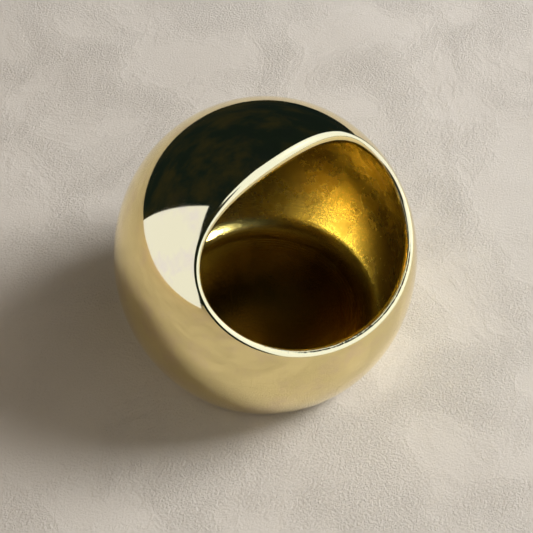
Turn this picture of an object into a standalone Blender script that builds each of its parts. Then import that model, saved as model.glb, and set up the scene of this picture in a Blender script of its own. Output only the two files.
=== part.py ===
"""Round brass planter pot: a double-walled shell with a scooped mouth, closed by a rounded rim bead.

Units are metres and +Z is up. The origin is at the centre of the underside. The mouth faces -Y.
"""

import math

import bmesh
import bpy
import numpy as np
from mathutils import Vector

# Overall form. Heights are measured from the girth, which is the widest level.
OUTER_RADIUS = 0.100
SHELL_RISE = 0.113
BASE_DROP = 0.069
BASE_CORNER = 0.007

# Sheet and wall.
OUTER_SHEET = 0.0012
LINER_SHEET = 0.0010
WALL_AT_SIDE = 0.0056
WALL_AT_CROWN = 0.0104
WALL_SWELL_START = 0.62
WALL_SWELL_POWER = 1.5

# The liner's floor.
FLOOR_CORNER = 0.013

# The mouth is where a long elliptical cylinder lying along X meets the outer shell. Its steep face
# stands this far in front of the axis, and its lowest line, well in front of the pot, is this far
# above the girth.
SCOOP_FACE = 0.0103
SCOOP_FLOOR = -0.0346
SCOOP_HALF_DEPTH = 0.439
SCOOP_HALF_HEIGHT = 0.139
MOUTH_LEAN = math.radians(40)

# Pieces that fit between or under the walls.
HOOP_HEIGHT = 0.014
WEIGHT_THICKNESS = 0.0027
WEIGHT_MARGIN = 0.006
WEIGHT_BEVEL = 0.0006
FELT_THICKNESS = 0.0015
FELT_MARGIN = 0.005
FELT_BEVEL = 0.0003
GAP = 0.0003

# Fineness of the turned and swept surfaces.
TURN_STEPS = 60
DOME_ROWS = 11
BOWL_ROWS = 8
CORNER_ROWS = 3
HOOP_ROWS = 2
RIM_STEPS = 80
BEAD_ROWS = 8
CUTTER_OUT = 0.012
CUTTER_IN = 0.020
CUTTER_TOP = 0.160
CUTTER_BOTTOM = 0.030

# Heights and places that follow from the sizes above.
GIRTH_HEIGHT = FELT_THICKNESS + GAP + BASE_DROP
FLOOR_DROP = BASE_DROP - OUTER_SHEET - WEIGHT_THICKNESS - LINER_SHEET - 2 * GAP
SCOOP_REACH = SCOOP_FACE + SCOOP_HALF_DEPTH
SCOOP_HEIGHT = SCOOP_FLOOR + SCOOP_HALF_HEIGHT


def clear_scene():
    for obj in list(bpy.data.objects):
        bpy.data.objects.remove(obj, do_unlink=True)


def new_collection(name):
    collection = bpy.data.collections.new(name)
    bpy.context.scene.collection.children.link(collection)
    return collection


def material(name, colour, roughness, metallic):
    made = bpy.data.materials.new(name)
    made.use_nodes = True
    shader = made.node_tree.nodes["Principled BSDF"]
    shader.inputs["Base Color"].default_value = (*colour, 1.0)
    shader.inputs["Roughness"].default_value = roughness
    shader.inputs["Metallic"].default_value = metallic
    return made


def new_object(name, mesh, collection, parent, made_of=None):
    obj = bpy.data.objects.new(name, mesh)
    collection.objects.link(obj)
    obj.parent = parent
    if made_of:
        mesh.materials.append(made_of)
        mesh.shade_smooth()
        mesh.set_sharp_from_angle(angle=math.radians(40))
    return obj


# The wall's section, as points of radius and height above the girth.


def wall_depth(lift):
    """Depth from the outer surface to the liner's inner face, at a share of the way up to the crown."""
    swell = max(0.0, (lift - WALL_SWELL_START) / (1 - WALL_SWELL_START))
    return WALL_AT_SIDE + (WALL_AT_CROWN - WALL_AT_SIDE) * swell**WALL_SWELL_POWER


def wall_normal(angle):
    return Vector((math.cos(angle) / OUTER_RADIUS, math.sin(angle) / SHELL_RISE)).normalized()


def wall_point(angle, inset):
    """Point of the oval section at this angle above the girth, moved in square to the wall."""
    outer = Vector((OUTER_RADIUS * math.cos(angle), SHELL_RISE * math.sin(angle)))
    return outer - inset * wall_normal(angle)


def angle_at(height, inset):
    """Angle below the girth where the inset wall reaches this height."""
    low, high = -math.pi / 2, 0.0
    for _ in range(60):
        middle = (low + high) / 2
        if wall_point(middle, inset).y < height:
            low = middle
        else:
            high = middle
    return (low + high) / 2


def dome_section(depth_of):
    """Points from the crown down to the girth. The top point is on the axis."""
    start = math.asin(GAP / 2 / SHELL_RISE)
    points = [Vector((0.0, SHELL_RISE - depth_of(1.0)))]
    for row in range(1, DOME_ROWS + 1):
        angle = math.pi / 2 + (start - math.pi / 2) * row / DOME_ROWS
        points.append(wall_point(angle, depth_of(math.sin(angle))))
    return points


def bowl_section(inset, drop, corner):
    """Points from the girth down the wall, round the corner and in along the flat to the axis."""
    start = -math.asin(GAP / 2 / SHELL_RISE)
    corner_angle = angle_at(corner - drop, inset + corner)
    centre = wall_point(corner_angle, inset + corner)
    points = []
    for row in range(BOWL_ROWS + 1):
        points.append(wall_point(start + (corner_angle - start) * row / BOWL_ROWS, inset))
    normal = wall_normal(corner_angle)
    turn_from = math.atan2(normal.y, normal.x)
    for row in range(1, CORNER_ROWS + 1):
        turn = turn_from + (-math.pi / 2 - turn_from) * row / CORNER_ROWS
        points.append(centre + corner * Vector((math.cos(turn), math.sin(turn))))
    points.append(Vector((0.0, -drop)))
    return points


def hoop_section():
    """Closed outline between the two walls, with the same clearance to both."""
    half_angle = math.asin(HOOP_HEIGHT / 2 / SHELL_RISE)
    angles = [half_angle * (1 - row / HOOP_ROWS) for row in range(2 * HOOP_ROWS + 1)]
    outside = [wall_point(angle, OUTER_SHEET + GAP) for angle in angles]
    inside = [wall_point(angle, WALL_AT_SIDE - LINER_SHEET - GAP) for angle in angles]
    return outside + inside[::-1]


def turned(name, section, closed, collection, parent, made_of):
    """Object of revolution about Z, from a section that runs down its outer side."""
    mesh = bpy.data.meshes.new(name)
    points = [(point.x, 0.0, point.y) for point in section]
    edges = [(i, i + 1) for i in range(len(points) - 1)]
    if closed:
        edges.append((len(points) - 1, 0))
    mesh.from_pydata(points, edges, [])
    obj = new_object(name, mesh, collection, parent)
    mesh.materials.append(made_of)
    screw = obj.modifiers.new("turn", "SCREW")
    screw.steps = TURN_STEPS
    screw.render_steps = TURN_STEPS
    screw.use_merge_vertices = True
    screw.merge_threshold = 0.00001
    screw.use_smooth_shade = True
    return obj


def thicken(obj, thickness, outwards):
    solidify = obj.modifiers.new("sheet", "SOLIDIFY")
    solidify.thickness = thickness
    solidify.offset = 1.0 if outwards else -1.0
    solidify.use_even_offset = True


def cut(obj, cutter):
    boolean = obj.modifiers.new("mouth", "BOOLEAN")
    boolean.operation = "DIFFERENCE"
    boolean.solver = "EXACT"
    boolean.object = cutter


def disc(name, radius, bottom, thickness, bevel, collection, parent, made_of):
    shape = bmesh.new()
    bmesh.ops.create_cone(
        shape,
        cap_ends=True,
        segments=TURN_STEPS,
        radius1=radius,
        radius2=radius,
        depth=thickness,
    )
    mesh = bpy.data.meshes.new(name)
    shape.to_mesh(mesh)
    shape.free()
    obj = new_object(name, mesh, collection, parent, made_of)
    obj.location.z = bottom + thickness / 2
    edge = obj.modifiers.new("edge", "BEVEL")
    edge.width = bevel
    return obj


# The mouth's edge, as a closed run of points on the outer surface with the girth's centre as origin.


def leaves_scoop(point):
    reach = (-point.y - SCOOP_REACH) / SCOOP_HALF_DEPTH
    height = (point.z - SCOOP_HEIGHT) / SCOOP_HALF_HEIGHT
    return reach**2 + height**2 > 1


def on_shell(direction):
    across = (direction.x**2 + direction.y**2) / OUTER_RADIUS**2
    return direction / math.sqrt(across + direction.z**2 / SHELL_RISE**2)


def mouth_axis():
    return Vector((0.0, -math.sin(MOUTH_LEAN), math.cos(MOUTH_LEAN)))


def mouth_point(bearing):
    """Swings away from the mouth's axis at this bearing until it leaves the scoop."""
    axis = mouth_axis()
    side = Vector((1.0, 0.0, 0.0))
    sweep = math.cos(bearing) * side + math.sin(bearing) * axis.cross(side)
    low, high = 0.0, math.radians(120)
    for _ in range(50):
        swing = (low + high) / 2
        if leaves_scoop(on_shell(math.cos(swing) * axis + math.sin(swing) * sweep)):
            high = swing
        else:
            low = swing
    return on_shell(math.cos(low) * axis + math.sin(low) * sweep)


def even_loop(points, count):
    """The closed run of points, spaced evenly along its length."""
    closed = np.array([*points, points[0]])
    lengths = np.linalg.norm(np.diff(closed, axis=0), axis=1)
    along = np.concatenate([[0.0], np.cumsum(lengths)])
    wanted = np.linspace(0.0, along[-1], count, endpoint=False)
    spaced = [np.interp(wanted, along, closed[:, axis]) for axis in range(3)]
    return [Vector(point) for point in zip(*spaced)]


def mouth_stations():
    """Each station is a point on the edge, the way out of the wall and the way into the mouth."""
    fine = [mouth_point(2 * math.pi * step / (RIM_STEPS * 8)) for step in range(RIM_STEPS * 8)]
    points = even_loop(fine, RIM_STEPS)
    stations = []
    for i, point in enumerate(points):
        along = (points[(i + 1) % RIM_STEPS] - points[i - 1]).normalized()
        out = Vector((point.x, point.y, point.z * (OUTER_RADIUS / SHELL_RISE) ** 2)).normalized()
        inward = out.cross(along).normalized()
        if inward.dot(mouth_axis() * OUTER_RADIUS - point) < 0:
            inward.negate()
        stations.append((point, out, inward))
    return stations


def loft(rings, ends=None):
    """Closed mesh through rings of equal length, joined last to first or closed by a point at each end."""
    shape = bmesh.new()
    rows = [[shape.verts.new(point) for point in ring] for ring in rings]
    pairs = list(zip(rows, rows[1:]))
    if ends is None:
        pairs.append((rows[-1], rows[0]))
    for lower, upper in pairs:
        for i in range(len(lower)):
            nxt = (i + 1) % len(lower)
            shape.faces.new((lower[i], lower[nxt], upper[nxt], upper[i]))
    if ends is not None:
        for row, end in ((rows[0], ends[0]), (rows[-1], ends[1])):
            tip = shape.verts.new(end)
            for i in range(len(row)):
                shape.faces.new((row[i], row[(i + 1) % len(row)], tip))
    bmesh.ops.recalc_face_normals(shape, faces=shape.faces)
    return shape


def to_mesh(shape, name):
    mesh = bpy.data.meshes.new(name)
    shape.to_mesh(mesh)
    shape.free()
    return mesh


def rim_bead(stations, collection, parent, made_of):
    """Half-round bead: its flat back spans the wall and its round front stands into the mouth."""
    rings = []
    for row in range(BEAD_ROWS + 1):
        turn = math.pi * row / BEAD_ROWS
        ring = []
        for point, out, inward in stations:
            radius = wall_depth(point.z / SHELL_RISE) / 2
            offset = (math.cos(turn) - 1) * out + math.sin(turn) * inward
            ring.append(point + radius * offset)
        rings.append(ring)
    return new_object("rim_bead", to_mesh(loft(rings), "rim_bead"), collection, parent, made_of)


def mouth_cutter(stations, collection, parent):
    """Plug whose side wall stands square to the shell, a gap behind the bead's back."""
    back = [(point - GAP * inward, out) for point, out, inward in stations]
    rings = [
        [point - CUTTER_IN * out for point, out in back],
        [point + CUTTER_OUT * out for point, out in back],
    ]
    ends = (CUTTER_BOTTOM * mouth_axis(), CUTTER_TOP * mouth_axis())
    mesh = to_mesh(loft(rings, ends), "mouth_cutter")
    obj = new_object("mouth_cutter", mesh, collection, parent)
    obj.hide_render = True
    obj.display_type = "WIRE"
    return obj


def main():
    clear_scene()
    parts = new_collection("brass_planter_pot")
    cutters = new_collection("cutters")
    polished = material("polished_brass", (0.80, 0.62, 0.30), 0.06, 1.0)
    raw = material("raw_spun_brass", (0.62, 0.45, 0.14), 0.38, 1.0)
    steel = material("mild_steel_plate", (0.45, 0.45, 0.46), 0.45, 1.0)
    felt = material("black_felt", (0.03, 0.03, 0.03), 0.95, 0.0)

    girth = bpy.data.objects.new("girth_centre", None)
    parts.objects.link(girth)
    girth.location.z = GIRTH_HEIGHT

    stations = mouth_stations()
    cutter = mouth_cutter(stations, cutters, girth)

    outer_dome = dome_section(lambda lift: 0.0)
    upper = turned("outer_shell_upper", outer_dome, False, parts, girth, polished)
    thicken(upper, OUTER_SHEET, outwards=False)
    cut(upper, cutter)

    outer_bowl = bowl_section(0.0, BASE_DROP, BASE_CORNER)
    lower = turned("outer_shell_lower", outer_bowl, False, parts, girth, polished)
    thicken(lower, OUTER_SHEET, outwards=False)

    liner_dome = turned("liner_upper", dome_section(wall_depth), False, parts, girth, raw)
    thicken(liner_dome, LINER_SHEET, outwards=True)
    cut(liner_dome, cutter)

    liner_bowl = bowl_section(WALL_AT_SIDE, FLOOR_DROP, FLOOR_CORNER)
    liner = turned("liner_lower", liner_bowl, False, parts, girth, raw)
    thicken(liner, LINER_SHEET, outwards=True)

    rim_bead(stations, parts, girth, polished)
    turned("girth_hoop", hoop_section(), True, parts, girth, raw)

    flat_radius = outer_bowl[-2].x
    weight_bottom = OUTER_SHEET + GAP - BASE_DROP
    weight_radius = flat_radius - WEIGHT_MARGIN
    disc("base_weight", weight_radius, weight_bottom, WEIGHT_THICKNESS, WEIGHT_BEVEL, parts, girth, steel)

    felt_radius = flat_radius - FELT_MARGIN
    felt_bottom = -BASE_DROP - GAP - FELT_THICKNESS
    disc("felt_base", felt_radius, felt_bottom, FELT_THICKNESS, FELT_BEVEL, parts, girth, felt)


main()
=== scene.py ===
"""Studio scene of a round, double-walled brass planter pot with a scooped mouth.

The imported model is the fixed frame. Units are metres, +Z is up and the mouth faces -Y.
"""

import math

import bmesh
import bpy
import numpy as np
from bpy.props import FloatProperty, FloatVectorProperty, PointerProperty
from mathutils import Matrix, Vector


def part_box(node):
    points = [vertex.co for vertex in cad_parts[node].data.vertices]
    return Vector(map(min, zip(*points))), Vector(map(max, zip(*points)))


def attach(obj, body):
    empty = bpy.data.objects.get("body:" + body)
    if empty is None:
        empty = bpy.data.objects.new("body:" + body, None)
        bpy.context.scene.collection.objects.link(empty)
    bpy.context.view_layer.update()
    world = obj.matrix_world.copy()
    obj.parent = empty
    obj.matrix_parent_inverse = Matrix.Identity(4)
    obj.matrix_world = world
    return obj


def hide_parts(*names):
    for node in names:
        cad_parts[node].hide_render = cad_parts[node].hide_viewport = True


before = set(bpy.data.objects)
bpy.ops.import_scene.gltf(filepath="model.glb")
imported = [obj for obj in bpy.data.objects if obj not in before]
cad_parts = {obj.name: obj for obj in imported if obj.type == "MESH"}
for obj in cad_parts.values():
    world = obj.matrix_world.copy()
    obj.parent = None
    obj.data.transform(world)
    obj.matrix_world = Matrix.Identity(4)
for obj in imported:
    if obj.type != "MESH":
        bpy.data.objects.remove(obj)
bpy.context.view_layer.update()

bl_info = {
    "name": "Brass planter pot",
    "version": (1, 0, 0),
    "blender": (4, 5, 0),
    "location": "3D View > Sidebar > Planter",
    "description": "Builds the pot's shells, lip and liner, and the studio round them",
    "category": "Object",
}

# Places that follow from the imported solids.
SHELL_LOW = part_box("outer_shell_lower")
SHELL_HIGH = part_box("outer_shell_upper")
SEAM = (SHELL_HIGH[0][2] + SHELL_LOW[1][2]) / 2
RADIUS = SHELL_HIGH[1][0]
RISE = SHELL_HIGH[1][2] - SEAM
DROP = SEAM - SHELL_LOW[0][2]
LINER_SHEET = 0.0010
FLOOR_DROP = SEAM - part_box("liner_lower")[0][2] - LINER_SHEET
FLOOR_HEIGHT = SEAM - FLOOR_DROP
GIRTH_CENTRE = Vector((0.0, 0.0, SEAM))

# How far the mouth's middle leans from the pot's axis towards -Y.
MOUTH_LEAN = math.radians(40)
# Half of the hair's breadth left open at the girth, between the upper and lower halves.
SHELL_GAP = 0.00001
LINER_GAP = 0.00005
# Radius of the small disc that closes each spun sheet at its middle.
HUB = 0.002

# Points round the mouth on the shell and liner, round the mouth on the lip, and round a bowl.
AROUND = 480
LIP_AROUND = 1440
BOWL_AROUND = 288
# Rows from the mouth down to the girth, over the lip, down a bowl's wall, round its corner and
# across its flat.
DRAPED_ROWS = 72
LIP_ROWS = 65
WALL_ROWS = 56
CORNER_ROWS = 14
FLAT_ROWS = 12


def linear(hex_colour):
    """An sRGB hex colour as linear red, green, blue and alpha."""
    shade = []
    for i in (1, 3, 5):
        level = int(hex_colour[i : i + 2], 16) / 255
        shade.append(level / 12.92 if level <= 0.04045 else ((level + 0.055) / 1.055) ** 2.4)
    return (*shade, 1.0)


def size(name, description, default, low=0.0, high=1.0):
    return FloatProperty(
        name=name, description=description, default=default, min=low, max=high,
        subtype="DISTANCE", unit="LENGTH", precision=5,
    )


def colour(name, description, hex_colour):
    return FloatVectorProperty(
        name=name, description=description, default=linear(hex_colour), size=4,
        min=0.0, max=1.0, subtype="COLOR",
    )


def number(name, description, default, low=0.0, high=100.0):
    return FloatProperty(name=name, description=description, default=default, min=low, max=high)


def turn(name, description, degrees):
    return FloatProperty(
        name=name, description=description, default=math.radians(degrees),
        min=-math.tau, max=math.tau, subtype="ANGLE", unit="ROTATION",
    )


class PlanterSizes(bpy.types.PropertyGroup):
    sheet: size("Sheet", "Thickness of the polished outer sheet", 0.0012)
    liner_sheet: size("Liner sheet", "Thickness of the liner's sheet", LINER_SHEET)
    base_corner: size("Base corner", "Radius between the wall and the flat base", 0.007)
    floor_corner: size("Floor corner", "Radius between the liner's wall and floor", 0.018)
    wall_side: size("Wall at the side", "Depth of the double wall at the sides", 0.0056)
    wall_crown: size("Wall at the crown", "Depth of the double wall at the crown", 0.0104)
    scoop_face: size("Scoop face", "Distance from the axis to the scoop's steep face", 0.0103)
    scoop_floor: size("Scoop floor", "Scoop's lowest line above the girth", -0.0346, -1.0)
    scoop_half_depth: size("Scoop half depth", "Half of the scoop's oval, front to back", 0.439)
    scoop_half_height: size("Scoop half height", "Half of the scoop's oval, top to bottom", 0.139)
    lip_crease: size("Lip crease", "Depth of the joint line along the front of the lip", 0.00050)
    floor_ring: size("Floor ring", "Radius of the turned rings at the floor's edge", 0.0665)


class PlanterColours(bpy.types.PropertyGroup):
    brass: colour("Brass", "Freshly polished brass", "#F6E4A5")
    rosy_brass: colour("Rosy brass", "Brass where the copper shows through the polish", "#E6C8B2")
    raw: colour("Raw brass", "Unlacquered brass as it comes off the lathe", "#D6C27A")
    raw_dark: colour("Tarnished brass", "Older, browner patches of the raw brass", "#A88F46")
    steel: colour("Steel", "Mild steel plate with mill scale rubbed off", "#8A8C8E")
    felt: colour("Felt", "Black wool felt", "#141312")
    plaster: colour("Plaster", "Trowelled lime plaster", "#D9D4CE")
    flux: colour("Flux", "Burnt flux left in the brazed joint", "#2A2010")
    # Painted shade on the liner's floor: darkest in the middle, paler towards the corner.
    painted_floor_shade: colour("Painted floor shade", "Raw brass darkened on the floor as painted shade", "#927C40")
    painted_floor_shade_edge: colour("Edge of the painted floor shade", "Raw brass less darkened, in the corner, as painted shade", "#B8A258")
    mill_scale: colour("Mill scale", "Scale left in streaks on the steel", "#5A5450")
    felt_nap: colour("Felt nap", "Paler fibres on the felt", "#2B2826")
    plaster_cloud: colour("Plaster cloud", "Duller clouds in the plaster", "#CEC8C1")


class PlanterStudio(bpy.types.PropertyGroup):
    azimuth: turn("Azimuth", "Camera's turn round the pot from the mouth's side", -40.38)
    elevation: turn("Elevation", "Camera's height above the horizon", 53.38)
    distance: size("Distance", "Camera's distance from the centre of the girth", 0.8, 0.1, 10.0)
    lens: number("Lens", "Focal length in millimetres", 81.33, 10.0, 300.0)
    aim_right: size(
        "Aim right", "How far to the right of the girth's centre the camera aims", 0.000757, -1.0
    )
    aim_up: size("Aim up", "How far above the girth's centre the camera aims", -0.00586, -1.0)
    key: number("Key", "Power of the window on the right, in watts", 111.0, 0.0, 1000.0)
    lamp: number("Lamp", "Power of the lamp that only the liner gets, in watts", 72.0, 0.0, 1000.0)
    side_wall: number(
        "Side wall", "Strength of the white wall round the window, as the brass shows it", 1.66
    )
    wall_fill: number(
        "Wall fill", "Strength of the light that the white wall throws on the table", 0.60
    )
    reflector: number("Reflector", "Strength of the board on the left, as the brass shows it", 1.5)
    board_fill: number(
        "Board fill", "Strength of the light that the board throws on the table", 1.05
    )


# The pot's surfaces, with the girth's centre as origin.


def on_shell(direction):
    """Where a line from the centre in this direction meets the outer shell."""
    across = (direction[..., 0] ** 2 + direction[..., 1] ** 2) / RADIUS**2
    return direction / np.sqrt(across + direction[..., 2] ** 2 / RISE**2)[..., None]


def shell_normal(points):
    """The way straight out of the shell at these points."""
    normal = points * np.array([1.0, 1.0, (RADIUS / RISE) ** 2])
    return normal / np.linalg.norm(normal, axis=-1)[..., None]


def wall_depth(height, sizes):
    """Depth of the double wall at this height above the girth. It deepens near the crown."""
    even_part = 0.62
    swell = np.clip((height / RISE - even_part) / (1 - even_part), 0, None)
    return sizes.wall_side + (sizes.wall_crown - sizes.wall_side) * swell**1.5


def mouth_axis():
    """The way from the girth's centre to the middle of the mouth."""
    return np.array([0.0, -math.sin(MOUTH_LEAN), math.cos(MOUTH_LEAN)])


def mouth_edge(count, sizes):
    """Points round the mouth on the outer shell, from the +X side over the crown."""
    axis = mouth_axis()
    side = np.array([1.0, 0.0, 0.0])
    bearing = np.linspace(0, math.tau, count, endpoint=False)[:, None]
    sweep = np.cos(bearing) * side + np.sin(bearing) * np.cross(axis, side)
    # Each point is found by halving the swing away from the mouth's middle.
    low, high = np.zeros((count, 1)), np.full((count, 1), math.radians(120))
    for _ in range(50):
        swing = (low + high) / 2
        point = on_shell(np.cos(swing) * axis + np.sin(swing) * sweep)
        reach = (-point[:, 1] - sizes.scoop_face) / sizes.scoop_half_depth - 1
        height = (point[:, 2] - sizes.scoop_floor) / sizes.scoop_half_height - 1
        leaves = (reach**2 + height**2 > 1)[:, None]
        high = np.where(leaves, swing, high)
        low = np.where(leaves, low, swing)
    return on_shell(np.cos(low) * axis + np.sin(low) * sweep)


def edge_frame(points):
    """At each point of the edge: the way out of the wall and the way into the mouth."""
    along = np.roll(points, -1, axis=0) - np.roll(points, 1, axis=0)
    out = shell_normal(points)
    inward = np.cross(out, along)
    inward /= np.linalg.norm(inward, axis=1)[:, None]
    facing = np.sum((mouth_axis() * RADIUS - points) * inward, axis=1)
    return out, inward * np.sign(facing)[:, None]


def lofted(name, rings, wrap=False, caps=False):
    """Closed mesh of quads through rings of points, with normals facing out."""
    rings = np.asarray(rings)
    count, around = rings.shape[:2]
    index = np.arange(count * around).reshape(count, around)
    first = index if wrap else index[:-1]
    second = np.roll(index, -1, axis=0) if wrap else index[1:]
    corners = (first, np.roll(first, -1, axis=1), np.roll(second, -1, axis=1), second)
    faces = np.stack(corners, axis=-1).reshape(-1, 4).tolist()
    if caps:
        faces += [index[0].tolist(), index[-1].tolist()]
    mesh = bpy.data.meshes.new(name)
    mesh.from_pydata((rings.reshape(-1, 3) + [0, 0, SEAM]).tolist(), [], faces)
    shape = bmesh.new()
    shape.from_mesh(mesh)
    bmesh.ops.recalc_face_normals(shape, faces=shape.faces)
    shape.to_mesh(mesh)
    shape.free()
    mesh.shade_smooth()
    mesh.set_sharp_from_angle(angle=math.radians(40))
    return mesh


def added(name, data):
    """A new object in the scene."""
    obj = bpy.data.objects.new(name, data)
    bpy.context.scene.collection.objects.link(obj)
    return obj


def placed(name, mesh, made_of, slot, *nodes):
    """Adds the piece that stands for these CAD nodes."""
    obj = added(name, mesh)
    mesh.materials.append(made_of)
    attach(obj, "root")
    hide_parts(*nodes)


def set_normals(mesh, normals):
    """Fixes the normals at the points that have one. A zero normal leaves the mesh's own."""
    padded = np.zeros((len(mesh.vertices), 3))
    padded[: len(normals)] = normals
    mesh.normals_split_custom_set_from_vertices(padded.tolist())


def circle(count):
    """Points round a level circle of radius 1."""
    angle = np.linspace(0, math.tau, count, endpoint=False)
    return np.stack([np.cos(angle), np.sin(angle), np.zeros(count)], axis=1)


def draped(edge, rows, gap):
    """Rings on the outer shell from the mouth's edge down to the girth."""
    girth = circle(len(edge)) * RADIUS
    girth[:, 2] = gap
    start = edge / np.linalg.norm(edge, axis=1)[:, None]
    end = girth / np.linalg.norm(girth, axis=1)[:, None]
    angle = np.arccos(np.clip(np.sum(start * end, axis=1), -1, 1))[:, None]
    rings = []
    for row in range(rows + 1):
        share = row / rows
        swung = np.sin((1 - share) * angle) * start + np.sin(share * angle) * end
        rings.append(on_shell(swung / np.sin(angle)))
    return np.array(rings)


def spun(section, count):
    """Rings of a section of radius and height, turned about the axis."""
    radius, height = np.asarray(section).T[:, :, None, None]
    return radius * circle(count) + height * np.array([0, 0, 1.0])


def wall_section(angle, inset):
    """Radius and height of the oval wall at this angle above the girth, moved in by inset."""
    normal = np.stack([np.cos(angle) / RADIUS, np.sin(angle) / RISE], axis=-1)
    normal /= np.linalg.norm(normal, axis=-1)[..., None]
    point = np.stack([RADIUS * np.cos(angle), RISE * np.sin(angle)], axis=-1)
    return point - np.asarray(inset)[..., None] * normal, normal


def bowl_section(inset, drop, corner, gap, wall_rows=WALL_ROWS, corner_rows=CORNER_ROWS):
    """From the girth down the wall, round the corner and to the start of the flat."""
    low, high = -math.pi / 2, 0.0
    for _ in range(60):
        middle = (low + high) / 2
        point, _ = wall_section(np.array(middle), inset + corner)
        low, high = (middle, high) if point[1] < corner - drop else (low, middle)
    centre, normal = wall_section(np.array(low), inset + corner)
    wall, _ = wall_section(np.linspace(-math.asin(gap / RISE), low, wall_rows), inset)
    turns = np.linspace(math.atan2(normal[1], normal[0]), -math.pi / 2, corner_rows)[1:]
    bend = centre + corner * np.stack([np.cos(turns), np.sin(turns)], axis=1)
    return np.concatenate([wall, bend])


def ripple(value, seed):
    """Repeatable roughness from -1 to 1 along a run, from a few sines that never line up."""
    rates = (1.0, 2.3, 3.9, 6.1, 9.7)
    return sum(np.sin(value * k + seed * (1.7 + k * 0.37)) for k in rates) / len(rates)


def bell(value, middle, width):
    """1 at the middle, fading out over this width."""
    return np.exp(-(((value - middle) / width) ** 2))


def band(bearing, start, fade_in, end, fade_out):
    """1 between two bearings round the mouth, in degrees, with a fade inside each end."""
    return np.clip((bearing - start) / fade_in, 0, 1) * np.clip((end - bearing) / fade_out, 0, 1)


# Finishes.


def node(tree, kind, values=None, links=None, **settings):
    """Adds one node with its settings, its sockets' values and the sockets that feed it."""
    made = tree.nodes.new(kind)
    for key, value in settings.items():
        setattr(made, key, value)
    for key, value in (values or {}).items():
        made.inputs[key].default_value = value
    for key, source in (links or {}).items():
        tree.links.new(source, made.inputs[key])
    return made


def noise(tree, at, scale, detail, roughness=0.5, distortion=0.0):
    """Noise with this many lumps to the metre."""
    values = {"Scale": scale, "Detail": detail, "Roughness": roughness, "Distortion": distortion}
    return node(tree, "ShaderNodeTexNoise", values, {"Vector": at}).outputs["Fac"]


def stretched(tree, at, scale):
    """The place, stretched so that noise of scale 1 has this many lumps to the metre each way."""
    return node(tree, "ShaderNodeMapping", {"Scale": scale}, {"Vector": at}).outputs["Vector"]


def spread(tree, source, values):
    """A level carried from one range to another."""
    return node(tree, "ShaderNodeMapRange", values, {"Value": source}).outputs["Result"]


def mixed(tree, share, first, second):
    """Two colours mixed by a share of the second."""
    made = node(
        tree, "ShaderNodeMix", {"A": first, "B": second}, {"Factor": share}, data_type="RGBA"
    )
    return made.outputs["Result"]


def sums(tree, operation, first, second):
    """One sum on two levels."""
    made = node(tree, "ShaderNodeMath", links={0: first, 1: second}, operation=operation)
    return made.outputs["Value"]


def bumps(tree, height, strength, depth, over=None):
    """Relief of this depth in metres, laid over another relief."""
    links = {"Height": height} if over is None else {"Height": height, "Normal": over}
    values = {"Strength": strength, "Distance": depth}
    return node(tree, "ShaderNodeBump", values, links).outputs["Normal"]


def new_material(name):
    """A new material, its tree and the place on the piece in metres."""
    made = bpy.data.materials.new(name)
    made.use_nodes = True
    at = node(made.node_tree, "ShaderNodeTexCoord").outputs["Object"]
    return made, made.node_tree, at


def surface(tree, values, links):
    """Sets the surface's fixed values and what feeds the rest."""
    shader = tree.nodes["Principled BSDF"]
    for key, value in values.items():
        shader.inputs[key].default_value = value
    for key, source in links.items():
        tree.links.new(source, shader.inputs[key])


def ramp(tree, source, stops):
    """Colour ramp through these places and colours."""
    made = node(tree, "ShaderNodeValToRGB", links={"Fac": source})
    elements = made.color_ramp.elements
    while len(elements) < len(stops):
        elements.new(0.5)
    for element, (place, shade) in zip(elements, stops):
        element.position = place
        element.color = shade
    return made.outputs["Color"]


def grey(level):
    """A neutral colour of this level."""
    return (level, level, level, 1.0)


def polished_brass(colours):
    """Brass, spun and buffed on a wheel. Near-mirror, with a breath of haze, a rosier cast in
    places and hair-fine buffing lines that run round the pot."""
    made, tree, at = new_material("Buffed brass")
    # Haze and handling marks, about 20 mm across.
    haze = noise(tree, at, 44.0, 6.0, 0.62)
    # Buffing lines are about 0.05 mm apart. They are drawn at 0.6 mm, as finer ones don't show.
    lines = noise(tree, stretched(tree, at, (60.0, 60.0, 1600.0)), 1.0, 3.0)
    # The sheet was never quite true: shallow waves about 25 mm long.
    wave = noise(tree, at, 38.0, 1.0)
    rosy = ramp(tree, haze, [(0.50, grey(0.0)), (0.70, grey(0.4))])
    gloss = {"From Min": 0.35, "From Max": 0.75, "To Min": 0.035, "To Max": 0.085}
    scratch = bumps(tree, lines, 0.10, 0.00002)
    surface(tree, {"Metallic": 1.0}, {
        "Base Color": mixed(tree, rosy, colours.brass, colours.rosy_brass),
        "Roughness": spread(tree, haze, gloss),
        "Normal": bumps(tree, wave, 0.5, 0.00003, scratch),
    })
    return made


def lip_brass(colours):
    """Brass edge, brazed, filed round and buffed by hand. A little softer than the shell, with
    dark flux left in the joint."""
    made, tree, at = new_material("Filed and buffed brass")
    # File marks about 1.4 mm apart.
    grain = noise(tree, at, 700.0, 4.0)
    flux = node(tree, "ShaderNodeAttribute", attribute_name="flux").outputs["Fac"]
    gloss = {"From Min": 0.3, "From Max": 0.7, "To Min": 0.06, "To Max": 0.13}
    surface(tree, {"Metallic": 1.0}, {
        "Base Color": mixed(tree, flux, colours.brass, colours.flux),
        "Roughness": spread(tree, grain, gloss),
        "Normal": bumps(tree, grain, 0.12, 0.00005),
    })
    return made


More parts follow.
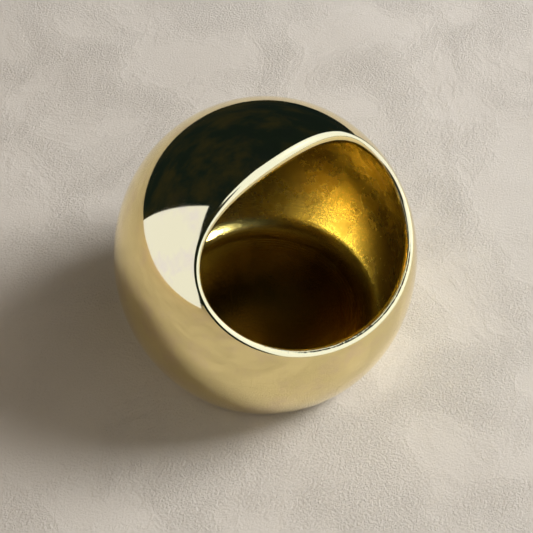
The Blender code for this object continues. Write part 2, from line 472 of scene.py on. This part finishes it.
def raw_brass(colours):
    """Brass, spun over a former and left as it was. Satin, mottled with tarnish, and scored round
    and round by the spinning tool. Its floor is darkened with painted shade, most in the middle."""
    made, tree, at = new_material("Raw spun brass")
    parts = node(tree, "ShaderNodeSeparateXYZ", links={"Vector": at}).outputs
    flat = node(tree, "ShaderNodeCombineXYZ", links={"X": parts["X"], "Y": parts["Y"]})
    radius = node(
        tree, "ShaderNodeVectorMath", links={"Vector": flat.outputs["Vector"]}, operation="LENGTH"
    ).outputs["Value"]
    angle = sums(tree, "ARCTAN2", parts["Y"], parts["X"])
    polar = node(
        tree, "ShaderNodeCombineXYZ", links={"X": radius, "Y": angle, "Z": parts["Z"]}
    ).outputs["Vector"]
    # Tool marks about 1.2 mm apart and 10 mm long.
    scored = noise(tree, stretched(tree, polar, (800.0, 8.0, 800.0)), 1.0, 3.0)
    # Tarnish in ragged blotches about 16 mm across, and a skin pitted about every 1.6 mm.
    blotch = noise(tree, at, 62.0, 8.0, 0.68)
    speck = noise(tree, at, 620.0, 2.0)
    patches = ramp(tree, blotch, [(0.34, grey(0.0)), (0.72, grey(0.9))])
    tint = mixed(tree, patches, colours.raw, colours.raw_dark)
    # Painted shade: the floor is darkened, most of all in the middle, up to a ragged line on the
    # wall. It stands in for the dark room that the glossy floor mirrors.
    ragged = node(tree, "ShaderNodeMath", {1: 0.012}, {0: blotch}, operation="MULTIPLY")
    height = sums(tree, "SUBTRACT", parts["Z"], ragged.outputs["Value"])
    above_painted_shade = spread(tree, height, {"From Min": FLOOR_HEIGHT, "From Max": FLOOR_HEIGHT + 0.005})
    corner = spread(tree, radius, {"From Min": 0.054, "From Max": 0.064})
    floor_shade_painted = node(
        tree, "ShaderNodeMix", None,
        {"Factor": above_painted_shade, "A": mixed(tree, corner, colours.painted_floor_shade, colours.painted_floor_shade_edge), "B": tint},
        data_type="RGBA",
    ).outputs["Result"]
    gloss = spread(tree, blotch, {"From Min": 0.3, "From Max": 0.7, "To Min": 0.20, "To Max": 0.32})
    # The floor was burnished flat, so it is glossier than the wall.
    burnished = spread(tree, parts["Z"], {
        "From Min": FLOOR_HEIGHT + 0.0005, "From Max": FLOOR_HEIGHT + 0.006,
        "To Min": 0.5, "To Max": 1.0,
    })
    rough = bumps(tree, speck, 0.5, 0.00016)
    tangent = node(tree, "ShaderNodeTangent", direction_type="RADIAL", axis="Z")
    surface(tree, {"Metallic": 1.0, "Anisotropic": 0.35}, {
        "Tangent": tangent.outputs["Tangent"],
        "Base Color": floor_shade_painted,
        "Roughness": sums(tree, "MULTIPLY", gloss, burnished),
        "Normal": bumps(tree, scored, 0.7, 0.00022, rough),
    })
    return made


def steel_plate(colours):
    """Mild steel, rolled and guillotined. Dull grey, streaked along the rolling direction."""
    made, tree, at = new_material("Rolled mild steel")
    # Streaks about 1.1 mm apart and 33 mm long.
    streak = noise(tree, stretched(tree, at, (30.0, 900.0, 900.0)), 1.0, 4.0)
    surface(tree, {"Metallic": 1.0}, {
        "Base Color": mixed(tree, streak, colours.steel, colours.mill_scale),
        "Roughness": spread(tree, streak, {"To Min": 0.35, "To Max": 0.6}),
        "Normal": bumps(tree, streak, 0.3, 0.00004),
    })
    return made


def wool_felt(colours):
    """Pressed wool felt. Matt, with a nap of tangled fibres about 1 mm long that catches light
    at the edge."""
    made, tree, at = new_material("Pressed wool felt")
    nap = noise(tree, at, 900.0, 4.0, distortion=2.5)
    fixed = {"Roughness": 0.95, "Specular IOR Level": 0.2, "Sheen Weight": 0.3}
    surface(tree, fixed, {
        "Base Color": mixed(tree, nap, colours.felt, colours.felt_nap),
        "Normal": bumps(tree, nap, 0.7, 0.0004),
    })
    return made


def lime_plaster(colours):
    """Lime plaster, floated by hand. Chalky and pale, with trowel drags, small pits and a sandy
    tooth."""
    made, tree, at = new_material("Trowelled lime plaster")
    cloud = noise(tree, at, 5.0, 5.0, 0.6)
    # Thin skims of plaster lie in patches about 70 mm across, with a broken edge.
    skim = noise(tree, at, 13.0, 9.0, 0.58, 0.4)
    step = ramp(tree, skim, [
        (0.0, grey(0.2)), (0.50, grey(0.2)), (0.515, grey(0.8)),
        (0.56, grey(0.55)), (1.0, grey(0.5)),
    ])
    # Grains of sand about 1.6 mm apart, half filled where the skim is thick.
    open_grain = ramp(tree, skim, [(0.42, grey(1.0)), (0.56, grey(0.35))])
    sand = noise(tree, at, 620.0, 4.0, 0.6, 0.6)
    tooth = sums(tree, "MULTIPLY", sand, open_grain)
    clouds = ramp(tree, cloud, [(0.35, grey(0.0)), (0.75, grey(1.0))])
    surface(tree, {"Roughness": 0.92, "Specular IOR Level": 0.15}, {
        "Base Color": mixed(tree, clouds, colours.plaster, colours.plaster_cloud),
        "Normal": bumps(tree, tooth, 1.0, 0.0016, bumps(tree, step, 0.5, 0.0007)),
    })
    return made


def glowing(name, shade, strength):
    """An evenly glowing surface."""
    made = bpy.data.materials.new(name)
    made.use_nodes = True
    tree = made.node_tree
    tree.nodes.clear()
    light = node(tree, "ShaderNodeEmission", {"Color": shade, "Strength": strength})
    node(tree, "ShaderNodeOutputMaterial", links={"Surface": light.outputs["Emission"]})
    return made


# Operators.


class PLANTER_OT_shells(bpy.types.Operator):
    """Builds the polished outer shell's upper and lower halves"""

    bl_idname = "planter.shells"
    bl_label = "Outer shells"

    def execute(self, context):
        sizes = context.scene.planter_sizes
        finish = polished_brass(context.scene.planter_colours)
        outer = draped(mouth_edge(AROUND, sizes), DRAPED_ROWS, SHELL_GAP)
        normals = shell_normal(outer)
        inner = (outer - sizes.sheet * normals)[::-1]
        mesh = lofted("shell_upper", np.concatenate([outer, inner]), wrap=True)
        set_normals(mesh, normals.reshape(-1, 3))
        placed("shell_upper", mesh, finish, "polished_brass", "outer_shell_upper")

        faces = []
        for inset in (0.0, sizes.sheet):
            face = bowl_section(inset, DROP - inset, sizes.base_corner - inset, SHELL_GAP)
            flat = np.linspace(face[-1, 0], HUB, FLAT_ROWS)[1:]
            bottom = np.full(len(flat), inset - DROP)
            faces.append(np.concatenate([face, np.stack([flat, bottom], axis=1)]))
        outside, inside = faces
        rings = spun(np.concatenate([outside[::-1], inside]), BOWL_AROUND)
        mesh = lofted("shell_lower", rings, caps=True)
        wall = slice(len(outside) - WALL_ROWS, len(outside))
        normals = np.zeros(rings.shape)
        normals[wall] = shell_normal(rings[wall])
        set_normals(mesh, normals.reshape(-1, 3))
        placed("shell_lower", mesh, finish, "polished_brass", "outer_shell_lower")
        return {"FINISHED"}


def lip_radius(height):
    """Half of the lip's thickness: fullest at the crown, slim at the sides, fuller at the sill."""
    heights = [0.019, 0.040, 0.056, 0.064, 0.085, 0.112]
    return np.interp(height, heights, [0.0034, 0.0028, 0.0022, 0.0022, 0.0031, 0.0050])


def lip_rings(sizes):
    """Rings of the lip from the shell over to the liner, the flux at each point, and the way out
    of the shell along the edge."""
    edge = mouth_edge(LIP_AROUND, sizes)
    out, inward = edge_frame(edge)
    radius = lip_radius(edge[:, 2])[:, None]
    bearing = np.linspace(0, 360, LIP_AROUND, endpoint=False)
    run = np.radians(bearing)
    # The brazed joint shows along the front of the lip, from left of the sill round to the right
    # side. It wanders a little and is broken here and there.
    shown = band(bearing, 222, 10, 333, 12)
    joint_at = 0.385 + 0.016 * ripple(run * 9, 1.3)
    breaks = np.clip(0.75 + 0.9 * ripple(run * 21, 4.1), 0.3, 1)
    # The braze is lumpy at the joint's left end, and flux has crumbled out of it at the sill.
    lumpy = band(bearing, 205, 5, 234, 6)
    crumbly = band(bearing, 247, 5, 279, 5) * np.clip(0.35 + 1.9 * ripple(run * 43, 5.2), 0, 1)
    roll_height, lump_height = 0.00010, 0.00070
    rings, flux = [], []
    for swing in np.linspace(0, math.pi, LIP_ROWS):
        # How far over the lip this ring is, from 0 at the shell to 1 at the liner.
        place = swing / math.pi
        groove = bell(place, joint_at, 0.034) * shown * breaks
        roll = bell(place, joint_at + 0.07, 0.035) * shown
        lump = bell(place, 0.48, 0.10) * lumpy
        lump = lump * ripple(run * 64 + 14 * place, 2.2) * ripple(run * 37, 7.9)
        crumbs = bell(place, 0.46, 0.045) * crumbly
        rise = -sizes.lip_crease * groove + roll_height * roll + lump_height * lump
        normal = math.cos(swing) * out + math.sin(swing) * inward
        rings.append(edge + radius * (normal - out) + rise[:, None] * normal)
        flux.append(np.clip(crumbs + groove * 1.7 + np.clip(-lump * 3.2, 0, 1), 0, 1))
    return np.array(rings), np.array(flux), out


class PLANTER_OT_lip(bpy.types.Operator):
    """Builds the rounded lip that joins the two walls, with its brazed joint"""

    bl_idname = "planter.lip"
    bl_label = "Lip"

    def execute(self, context):
        sizes = context.scene.planter_sizes
        rings, flux, out = lip_rings(sizes)
        # Four rings inside the wall close the lip from the liner back to the shell.
        back = np.linspace(rings[-1], rings[0], 6)[1:-1]
        mesh = lofted("lip", np.concatenate([rings, back]), wrap=True)
        set_normals(mesh, out)
        layer = mesh.attributes.new("flux", "FLOAT", "POINT")
        padded = np.zeros(len(mesh.vertices))
        padded[: flux.size] = flux.ravel()
        layer.data.foreach_set("value", padded)
        placed("lip", mesh, lip_brass(context.scene.planter_colours), "polished_brass", "rim_bead")
        return {"FINISHED"}


class PLANTER_OT_liner(bpy.types.Operator):
    """Builds the raw brass liner: its scooped upper half, and its bowl with a ringed floor"""

    bl_idname = "planter.liner"
    bl_label = "Liner"

    def execute(self, context):
        sizes = context.scene.planter_sizes
        finish = raw_brass(context.scene.planter_colours)
        rings, _, _ = lip_rings(sizes)
        lip_end = rings[-1][:: LIP_AROUND // AROUND]
        outer = draped(mouth_edge(AROUND, sizes), DRAPED_ROWS, LINER_GAP)
        normals = shell_normal(outer)
        inside = outer - wall_depth(outer[..., 2], sizes)[..., None] * normals
        # Its top edge is drawn to the lip's last ring.
        fade = np.linspace(1, 0, DRAPED_ROWS + 1)[:, None, None] ** 3
        inside = inside + (lip_end - inside[0]) * fade
        hidden = (inside + sizes.liner_sheet * normals)[::-1]
        mesh = lofted("liner_upper_skin", np.concatenate([inside, hidden]), wrap=True)
        placed("liner_upper_skin", mesh, finish, "raw_brass", "liner_upper")

        face = bowl_section(
            sizes.wall_side, FLOOR_DROP, sizes.floor_corner, LINER_GAP, wall_rows=72, corner_rows=24
        )
        # The floor is finely divided out to the turned rings, and coarsely in its plain middle.
        plain = 0.048
        ringed = np.linspace(face[-1, 0], plain, 100)[1:]
        radius = np.concatenate([ringed, np.linspace(plain, HUB, FLAT_ROWS)[1:]])
        # Rings that the tool left at the edge of the floor, 2.1 mm apart and 0.18 mm high.
        apart, high = 0.0021, 0.00018
        fade = bell(radius, sizes.floor_ring - 0.004, 0.0065)
        ridge = high / 2 * (1 + np.cos((radius - sizes.floor_ring) * math.tau / apart)) * fade
        face = np.concatenate([face, np.stack([radius, ridge - FLOOR_DROP], axis=1)])
        thick = sizes.liner_sheet
        back = bowl_section(
            sizes.wall_side - thick, FLOOR_DROP + thick, sizes.floor_corner + thick, LINER_GAP
        )
        back = np.concatenate([back, [[HUB, -FLOOR_DROP - thick]]])
        rings = spun(np.concatenate([back[::-1], face]), BOWL_AROUND)
        mesh = lofted("liner_bowl_skin", rings, caps=True)
        placed("liner_bowl_skin", mesh, finish, "raw_brass", "liner_lower")
        return {"FINISHED"}


class PLANTER_OT_hidden(bpy.types.Operator):
    """Gives the hoop, the steel plate and the felt disc their finishes"""

    bl_idname = "planter.hidden"
    bl_label = "Hoop, plate and felt"

    def execute(self, context):
        colours = context.scene.planter_colours
        finishes = {
            "girth_hoop": bpy.data.materials["Raw spun brass"],
            "base_weight": steel_plate(colours),
            "felt_base": wool_felt(colours),
        }
        for name, finish in finishes.items():
            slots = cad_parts[name].material_slots
            for slot in slots:
                slot.material = finish
            if not slots:
                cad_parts[name].data.materials.append(finish)
        return {"FINISHED"}


def sky_point(azimuth, elevation, distance, turn_by):
    """A point this far from the pot, at an azimuth from the camera's side and an elevation."""
    around = turn_by + math.radians(azimuth)
    flat = math.cos(math.radians(elevation))
    way = (math.sin(around) * flat, -math.cos(around) * flat, math.sin(math.radians(elevation)))
    return GIRTH_CENTRE + distance * Vector(way)


def aimed(obj, place, target):
    """Puts a light or a camera at a place, facing a target."""
    obj.location = place
    obj.rotation_euler = (target - place).to_track_quat("-Z", "Y").to_euler()


def square_light(name, shade, side, watts, place):
    """A square light that faces the pot, out of the camera's sight."""
    light = bpy.data.lights.new(name, "AREA")
    light.size = side
    light.energy = watts
    light.color = linear(shade)[:3]
    obj = added(name, light)
    aimed(obj, place, GIRTH_CENTRE)
    obj.visible_camera = False
    return obj


def lit_by(name, objects, state):
    """A group of objects that a light is kept to, or kept off."""
    group = bpy.data.collections.new(name)
    for obj in objects:
        group.objects.link(obj)
    for link in group.collection_objects:
        link.light_linking.link_state = state
    return group


def flat_sheet(name, corners, finish):
    """Adds a flat sheet with these corners."""
    mesh = bpy.data.meshes.new(name)
    mesh.from_pydata(corners, [], [tuple(range(len(corners)))])
    mesh.materials.append(finish)
    return added(name, mesh)


def board(name, corners, shown, thrown, masked):
    """A lit board out of the camera's sight: what the brass shows of it, and the light it throws
    on matt things."""
    for part, finish in (("shown", shown), ("thrown", thrown)):
        if finish is None:
            continue
        obj = flat_sheet(f"{name}_{part}", corners, finish)
        obj.visible_camera = False
        obj.visible_shadow = False
        obj.visible_diffuse = part == "thrown"
        obj.visible_glossy = part == "shown"
        obj.light_linking.receiver_collection = masked


def dark_room(scene):
    """An unlit room, with dull olive hints of what stands in it."""
    world = bpy.data.worlds.new("Dark studio")
    world.use_nodes = True
    tree = world.node_tree
    way = node(tree, "ShaderNodeTexCoord").outputs["Generated"]
    room = ramp(tree, noise(tree, way, 3.2, 5.0, 0.6), [
        (0.0, linear("#10181A")), (0.44, linear("#141E20")),
        (0.62, linear("#27281F")), (1.0, linear("#2C2A20")),
    ])
    tree.links.new(room, tree.nodes["Background"].inputs["Color"])
    scene.world = world
    scene.view_settings.view_transform = "Standard"


def table_and_cove(plaster, right, away):
    """A table top, and a wide floor with a far wall behind it."""
    # The table top ends behind the pot, as its reflection in the brass shows.
    corners = [
        (-0.92, 0.30), (-0.62, 0.52), (-0.25, 0.60), (0.10, 0.52), (0.24, 0.44), (1.4, 0.60),
        (1.4, -1.6), (-1.3, -1.6), (-1.1, -0.2),
    ]
    flat_sheet("table_top", [x * right + y * away for x, y in corners], plaster)

    # The wide floor lies just under the table top, for low views. Reflections don't show it.
    under = -0.0004
    section = [(0.2, under), (0.8, under), (2.2, under), (3.2, 0.05), (3.9, 0.5), (4.2, 2.5)]
    mesh = lofted("cove", spun([(radius, height - SEAM) for radius, height in section], 96))
    mesh.materials.append(plaster)
    cove = added("cove", mesh)
    cove.visible_glossy = False


def white_wall(studio, masked):
    """Three tall boards and a soffit over them, round the window."""
    shown = glowing("White wall in the brass", linear("#CBD8FF"), studio.side_wall)
    thrown = glowing("White wall on the table", linear("#FFF6E8"), studio.wall_fill)
    distance, foot, head = 3.0, -2, 62
    edges = (17, 58, 104, 150)

    def corners(places):
        return [sky_point(*place, distance, studio.azimuth) for place in places]

    for first, last in zip(edges, edges[1:]):
        outline = corners([(first, foot), (last, foot), (last, head), (first, head)])
        board(f"white_wall_{first}", outline, shown, thrown, masked)
    outline = [(azimuth, head) for azimuth in edges]
    outline += [(170, 75), (205, 75), (290, 75), (312, 63), (345, 55)]
    board("white_soffit", corners(outline), shown, None, masked)


def left_board(studio):
    """A pale board on the left, whose reflection tapers to a point at the top."""
    shown = glowing("Left board in the brass", linear("#CBD5FF"), studio.reflector)
    thrown = glowing("Left board on the table", linear("#FFDCA8"), studio.board_fill)
    places = [(-112, -16), (-82, 48.5), (-38, -9), (-80, -16)]
    corners = [sky_point(*place, 1.3, studio.azimuth) for place in places]
    board("left_board", corners, shown, thrown, None)


def view_camera(scene, studio, right):
    """The camera, a little over half way up from the table to straight above."""
    camera = bpy.data.cameras.new("camera")
    camera.lens = studio.lens
    camera.sensor_width = 36.0
    camera.clip_start, camera.clip_end = 0.01, 50.0
    place = sky_point(0.0, math.degrees(studio.elevation), studio.distance, studio.azimuth)
    up = right.cross(GIRTH_CENTRE - place).normalized()
    scene.camera = added("camera", camera)
    aimed(scene.camera, place, GIRTH_CENTRE + studio.aim_right * right + studio.aim_up * up)


class PLANTER_OT_stage(bpy.types.Operator):
    """Builds the plaster floor, the window, the lamp, the boards and the camera"""

    bl_idname = "planter.stage"
    bl_label = "Stage"

    def execute(self, context):
        scene = context.scene
        studio = scene.planter_studio
        right = Vector((math.cos(studio.azimuth), math.sin(studio.azimuth), 0.0))
        away = Vector((-math.sin(studio.azimuth), math.cos(studio.azimuth), 0.0))
        dark_room(scene)
        table_and_cove(lime_plaster(scene.planter_colours), right, away)
        liner = [bpy.data.objects["liner_upper_skin"], bpy.data.objects["liner_bowl_skin"]]
        place = sky_point(azimuth=103.0, elevation=39.0, distance=3.2, turn_by=studio.azimuth)
        square_light("window", "#FFFEFB", 1.33, studio.key, place)
        # The lamp, above and in front of the window, is flagged so that it reaches only the liner.
        place = sky_point(azimuth=63.0, elevation=49.0, distance=2.0, turn_by=studio.azimuth)
        lamp = square_light("lamp", "#EAF5FF", 0.5, studio.lamp, place)
        lamp.light_linking.receiver_collection = lit_by("lamp_reaches", liner, "INCLUDE")
        white_wall(studio, lit_by("boards_miss", liner, "EXCLUDE"))
        left_board(studio)
        view_camera(scene, studio, right)
        return {"FINISHED"}


class PLANTER_PT_panel(bpy.types.Panel):
    bl_label = "Brass planter pot"
    bl_idname = "PLANTER_PT_panel"
    bl_space_type = "VIEW_3D"
    bl_region_type = "UI"
    bl_category = "Planter"

    def draw(self, context):
        for kind in OPERATORS:
            self.layout.operator(kind.bl_idname)
        scene = context.scene
        for group in (scene.planter_sizes, scene.planter_colours, scene.planter_studio):
            column = self.layout.column(align=True)
            for key in group.__annotations__:
                column.prop(group, key)


OPERATORS = (
    PLANTER_OT_shells, PLANTER_OT_lip, PLANTER_OT_liner, PLANTER_OT_hidden, PLANTER_OT_stage,
)
CLASSES = (PlanterSizes, PlanterColours, PlanterStudio, *OPERATORS, PLANTER_PT_panel)


def register():
    for kind in CLASSES:
        bpy.utils.register_class(kind)
    bpy.types.Scene.planter_sizes = PointerProperty(type=PlanterSizes)
    bpy.types.Scene.planter_colours = PointerProperty(type=PlanterColours)
    bpy.types.Scene.planter_studio = PointerProperty(type=PlanterStudio)


def unregister():
    del bpy.types.Scene.planter_sizes
    del bpy.types.Scene.planter_colours
    del bpy.types.Scene.planter_studio
    for kind in reversed(CLASSES):
        bpy.utils.unregister_class(kind)


def main():
    register()
    bpy.ops.planter.shells()
    bpy.ops.planter.lip()
    bpy.ops.planter.liner()
    bpy.ops.planter.hidden()
    bpy.ops.planter.stage()


if __name__ == "__main__":
    main()
